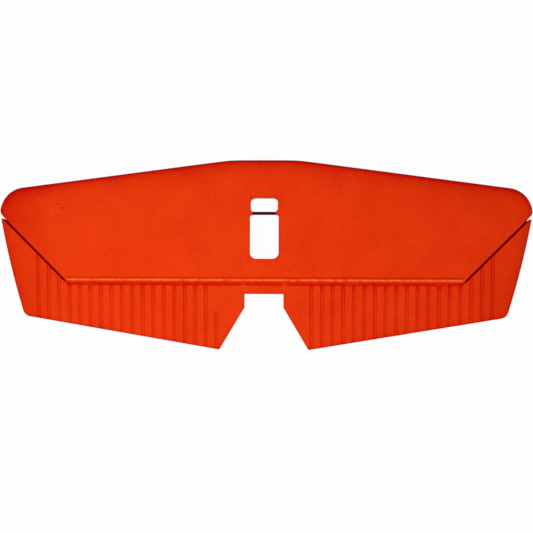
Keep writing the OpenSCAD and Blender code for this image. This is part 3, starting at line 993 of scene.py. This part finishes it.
def bridge_tone(x, y):
    # Painted shade from left to right and darker along the notch, with painted light in the hinge
    # valley
    spot_shade_and_tone = side_tone(x) + fading(notch_deep, y + notch_front, rim_spread)
    return spot_shade_and_tone, *valley_lightening(y, abs(x) < shoulder_start)


bridge_columns = 16
bridge_end_columns = 3
bridge_rows = 6
bridge_stations = steps(0, shoulder_start - shoulder_step, bridge_columns)
bridge_stations += steps(shoulder_start, bridge_end, bridge_end_columns)
bridge_stations = mirrored(bridge_stations)
bridge = foam_skin(
    "elevator_bridge_foam", bridge_stations, bridge_rear, bridge_front, bridge_half, bridge_rows
)
finish_foam(bridge, "elevator", bridge_tone, "elevator_bridge")


# Spar rod and joiner rod
# Two lengths of pultruded carbon rod, 3 mm thick. The spar is glued through the stabilizer and shows
# where it crosses the fin slot; the joiner is hidden in the elevator's nose.
# Near-black carbon tinted dark red, a painted reflection of the red foam round the rod
carbon_dark = (0.035, 0.0008, 0.0006, 1)
carbon_light = (0.075, 0.0015, 0.001, 1)
fibre_length = 12 * mm
fibre_width = 0.25 * mm
drawn_streaks = bpy.data.node_groups.new("drawn_streaks", "ShaderNodeTree")
drawn_streaks.interface.new_socket("Scale", in_out="INPUT", socket_type="NodeSocketVector")
drawn_streaks.interface.new_socket("Detail", in_out="INPUT", socket_type="NodeSocketFloat")
drawn_streaks.interface.new_socket("Streak", in_out="OUTPUT", socket_type="NodeSocketFloat")
streak_sizes = place(drawn_streaks, "NodeGroupInput").outputs
streak_coords = place(
    drawn_streaks,
    "ShaderNodeMapping",
    {
        "Vector": place(drawn_streaks, "ShaderNodeTexCoord").outputs["Object"],
        "Scale": streak_sizes["Scale"],
    },
).outputs["Vector"]
streak = place(
    drawn_streaks,
    "ShaderNodeTexNoise",
    {"Vector": streak_coords, "Scale": 1, "Detail": streak_sizes["Detail"]},
).outputs["Fac"]
place(drawn_streaks, "NodeGroupOutput", {"Streak": streak})


def streaked(tree, length, width, detail):
    """Puts streaks along the span into a material at their own size and returns their mask."""
    sizes = {"Scale": (1 / length, 1 / width, 1 / width), "Detail": detail}
    return place(tree, "ShaderNodeGroup", sizes, node_tree=drawn_streaks).outputs["Streak"]


carbon, carbon_tree, carbon_shader = new_finish("carbon_fibre")
fibres = streaked(carbon_tree, fibre_length, fibre_width, detail=3)
carbon_reddened = blend_colours(carbon_tree, fibres, carbon_dark, carbon_light)
give(carbon_tree, carbon_shader.inputs["Base Color"], carbon_reddened)
roughen(carbon_tree, carbon_shader, fibres, least=0.4, most=0.65)
carbon_shader.inputs["Specular IOR Level"].default_value = 0.03
emboss(carbon_tree, carbon_shader, fibres, strength=0.3, depth=0.03 * mm)


def dress(name, material):
    """Gives a node that keeps its own shape its finished material."""
    mesh = frame["nodes"][name].data
    mesh.materials.clear()
    mesh.materials.append(material)


for name in ("spar_rod", "joiner_rod"):
    dress(name, carbon)


# Hinges
# Six pinned hinges, glued into slots in the foam. The leaves are nylon moulded in the foam's own red
# so that they don't show in the hinge line, and each turns on a pin of steel wire.
nylon_bead = 2 * mm


def moulded_nylon(name, dark, light, pore_size, shine):
    """Nylon with the fine grain of its mould, as two shades of one colour."""
    material, tree, shader = new_finish(name)
    grain = grained(tree, nylon_bead, pore_size)
    give(tree, shader.inputs["Base Color"], blend_colours(tree, grain["Mottle"], dark, light))
    roughen(tree, shader, grain["Mottle"], least=0.35, most=0.55)
    shader.inputs["Specular IOR Level"].default_value = shine
    emboss(tree, shader, grain["Mottle"], strength=0.2, depth=0.04 * mm)
    return material


hinge_dark = (0.70, 0.012, 0.002, 1)
hinge_light = (0.80, 0.02, 0.003, 1)
hinge_pore = 0.4 * mm
hinge_nylon = moulded_nylon("hinge_nylon", hinge_dark, hinge_light, hinge_pore, shine=0.06)

steel_dark = (0.40, 0.41, 0.43, 1)
steel_light = (0.55, 0.56, 0.58, 1)
draw_length = 4 * mm
draw_width = 0.1 * mm
pin_steel, pin_tree, pin_shader = new_finish("pin_steel")
draw_lines = streaked(pin_tree, draw_length, draw_width, detail=2)
pin_shader.inputs["Metallic"].default_value = 1
pin_colour = blend_colours(pin_tree, draw_lines, steel_dark, steel_light)
give(pin_tree, pin_shader.inputs["Base Color"], pin_colour)
roughen(pin_tree, pin_shader, draw_lines, least=0.25, most=0.45)
for name in left_hinges + right_hinges:
    dress("stab_leaf_" + name, hinge_nylon)
    dress("elevator_leaf_" + name, hinge_nylon)
    dress("hinge_pin_" + name, pin_steel)


# Control horn
# The lever under the left half that the pushrod turns the elevator with: black nylon, moulded in one
# piece with its base and glued into a shallow recess in the foam.
horn_dark = (0.018, 0.018, 0.019, 1)
horn_light = (0.03, 0.03, 0.031, 1)
horn_pore = 0.3 * mm
horn_edge = 0.25 * mm
horn_edge_segments = 3
horn_edge_angle = math.radians(40)
horn_smooth_angle = math.radians(35)
flat_angle = math.radians(1)
horn_node = frame["nodes"]["control_horn"]
control_horn = horn_node.copy()
control_horn.data = horn_node.data.copy()
control_horn.name = "control_horn_nylon"
control_horn.data.name = "control_horn_nylon"
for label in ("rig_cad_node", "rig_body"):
    del control_horn[label]
bpy.context.scene.collection.objects.link(control_horn)
bpy.ops.object.select_all(action="DESELECT")
control_horn.select_set(True)
bpy.context.view_layer.objects.active = control_horn
bpy.ops.object.mode_set(mode="EDIT")
bpy.ops.mesh.select_all(action="SELECT")
bpy.ops.mesh.remove_doubles(threshold=weld)
bpy.ops.mesh.dissolve_limited(angle_limit=flat_angle)
bpy.ops.object.mode_set(mode="OBJECT")
rounding = control_horn.modifiers.new("rounding", "BEVEL")
rounding.width = horn_edge
rounding.segments = horn_edge_segments
rounding.limit_method = "ANGLE"
rounding.angle_limit = horn_edge_angle
bpy.ops.object.modifier_apply(modifier=rounding.name)
bpy.ops.object.shade_smooth_by_angle(angle=horn_smooth_angle)
horn_nylon = moulded_nylon("horn_nylon", horn_dark, horn_light, horn_pore, shine=0.35)
control_horn.data.materials.clear()
control_horn.data.materials.append(horn_nylon)
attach(control_horn, "elevator")
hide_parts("control_horn")


# Floor and light
# A plain white table and a soft lamp from below left of the picture, with a dim sky as fill. The table
# looks white where it is open to the sky and keeps the tail's shadow elsewhere, apart from a strip
# under the slot and the notch, painted white as light falling through them.
# Low enough for the trailing edge to swing down clear of the table
floor_gap = 4 * mm
floor_size = 6
sky_reach = 0.6
sky_samples = 24
shade_core = 0.05
shade_edge = 0.5
whitest = 0.96
bpy.ops.object.select_all(action="DESELECT")
bpy.ops.mesh.primitive_plane_add(size=floor_size, location=(0, 0, cad_box[0].z - floor_gap))
floor = bpy.context.object
floor.name = "floor"
floor_paint, floor_tree, floor_shader = new_finish("floor_paint")
floor_shader.inputs["Base Color"].default_value = (0.9, 0.9, 0.9, 1)
floor_shader.inputs["Roughness"].default_value = 0.9
floor_shader.inputs["Specular IOR Level"].default_value = 0.1


def seen_directly(tree):
    """1 for the camera's rays and for what shines or shows through, 0 for the rest of the light."""
    path = place(tree, "ShaderNodeLightPath").outputs
    shine = reckon(tree, "MAXIMUM", path["Is Glossy Ray"], path["Is Transmission Ray"])
    return reckon(tree, "MAXIMUM", path["Is Camera Ray"], shine)


openness = place(
    floor_tree, "ShaderNodeAmbientOcclusion", {"Distance": sky_reach}, samples=sky_samples
).outputs["AO"]
open_share = place(
    floor_tree,
    "ShaderNodeMapRange",
    {"Value": openness, "From Min": shade_core, "From Max": shade_edge, "To Max": whitest},
    interpolation_type="SMOOTHSTEP",
).outputs["Result"]
# A strip under the slot and the notch is painted white, as light falling through them
floor_coords = place(floor_tree, "ShaderNodeTexCoord").outputs["Object"]
floor_x = place(floor_tree, "ShaderNodeSeparateXYZ", {"Vector": floor_coords}).outputs["X"]
painted_strip_light = place(
    floor_tree,
    "ShaderNodeMapRange",
    {
        "Value": reckon(floor_tree, "ABSOLUTE", floor_x),
        "From Min": notch_half,
        "From Max": mouth_half,
        "To Min": whitest,
        "To Max": 0,
    },
    interpolation_type="SMOOTHSTEP",
).outputs["Result"]
lit_share = reckon(floor_tree, "MAXIMUM", open_share, painted_strip_light)
white = place(floor_tree, "ShaderNodeEmission", {"Color": (1, 1, 1, 1), "Strength": 1})
floor_mix = place(
    floor_tree,
    "ShaderNodeMixShader",
    {
        0: reckon(floor_tree, "MULTIPLY", seen_directly(floor_tree), lit_share),
        1: floor_shader.outputs["BSDF"],
        2: white.outputs["Emission"],
    },
)
give(floor_tree, floor_tree.nodes["Material Output"].inputs["Surface"], floor_mix.outputs["Shader"])
floor.data.materials.append(floor_paint)

lamp_place = Vector((-0.14, -0.12, 0.7))
bpy.ops.object.light_add(type="AREA", location=lamp_place)
lamp = bpy.context.object
lamp.name = "key_lamp"
lamp.data.shape = "SQUARE"
lamp.data.size = 0.5
lamp.data.energy = 2.9
lamp.rotation_euler = (-lamp_place).to_track_quat("-Z", "Y").to_euler()

world = bpy.data.worlds.new("sky")
bpy.context.scene.world = world
world.use_nodes = True
sky_tree = world.node_tree
sky_fill = sky_tree.nodes["Background"]
sky_fill.inputs["Color"].default_value = (1, 1, 1, 1)
sky_fill.inputs["Strength"].default_value = 0.5
sky_seen = place(sky_tree, "ShaderNodeBackground", {"Color": (1, 1, 1, 1), "Strength": 1})
sky_mix = place(
    sky_tree,
    "ShaderNodeMixShader",
    {0: seen_directly(sky_tree), 1: sky_fill.outputs["Background"], 2: sky_seen.outputs["Background"]},
)
give(sky_tree, sky_tree.nodes["World Output"].inputs["Surface"], sky_mix.outputs["Shader"])
bpy.context.scene.view_settings.view_transform = "Standard"
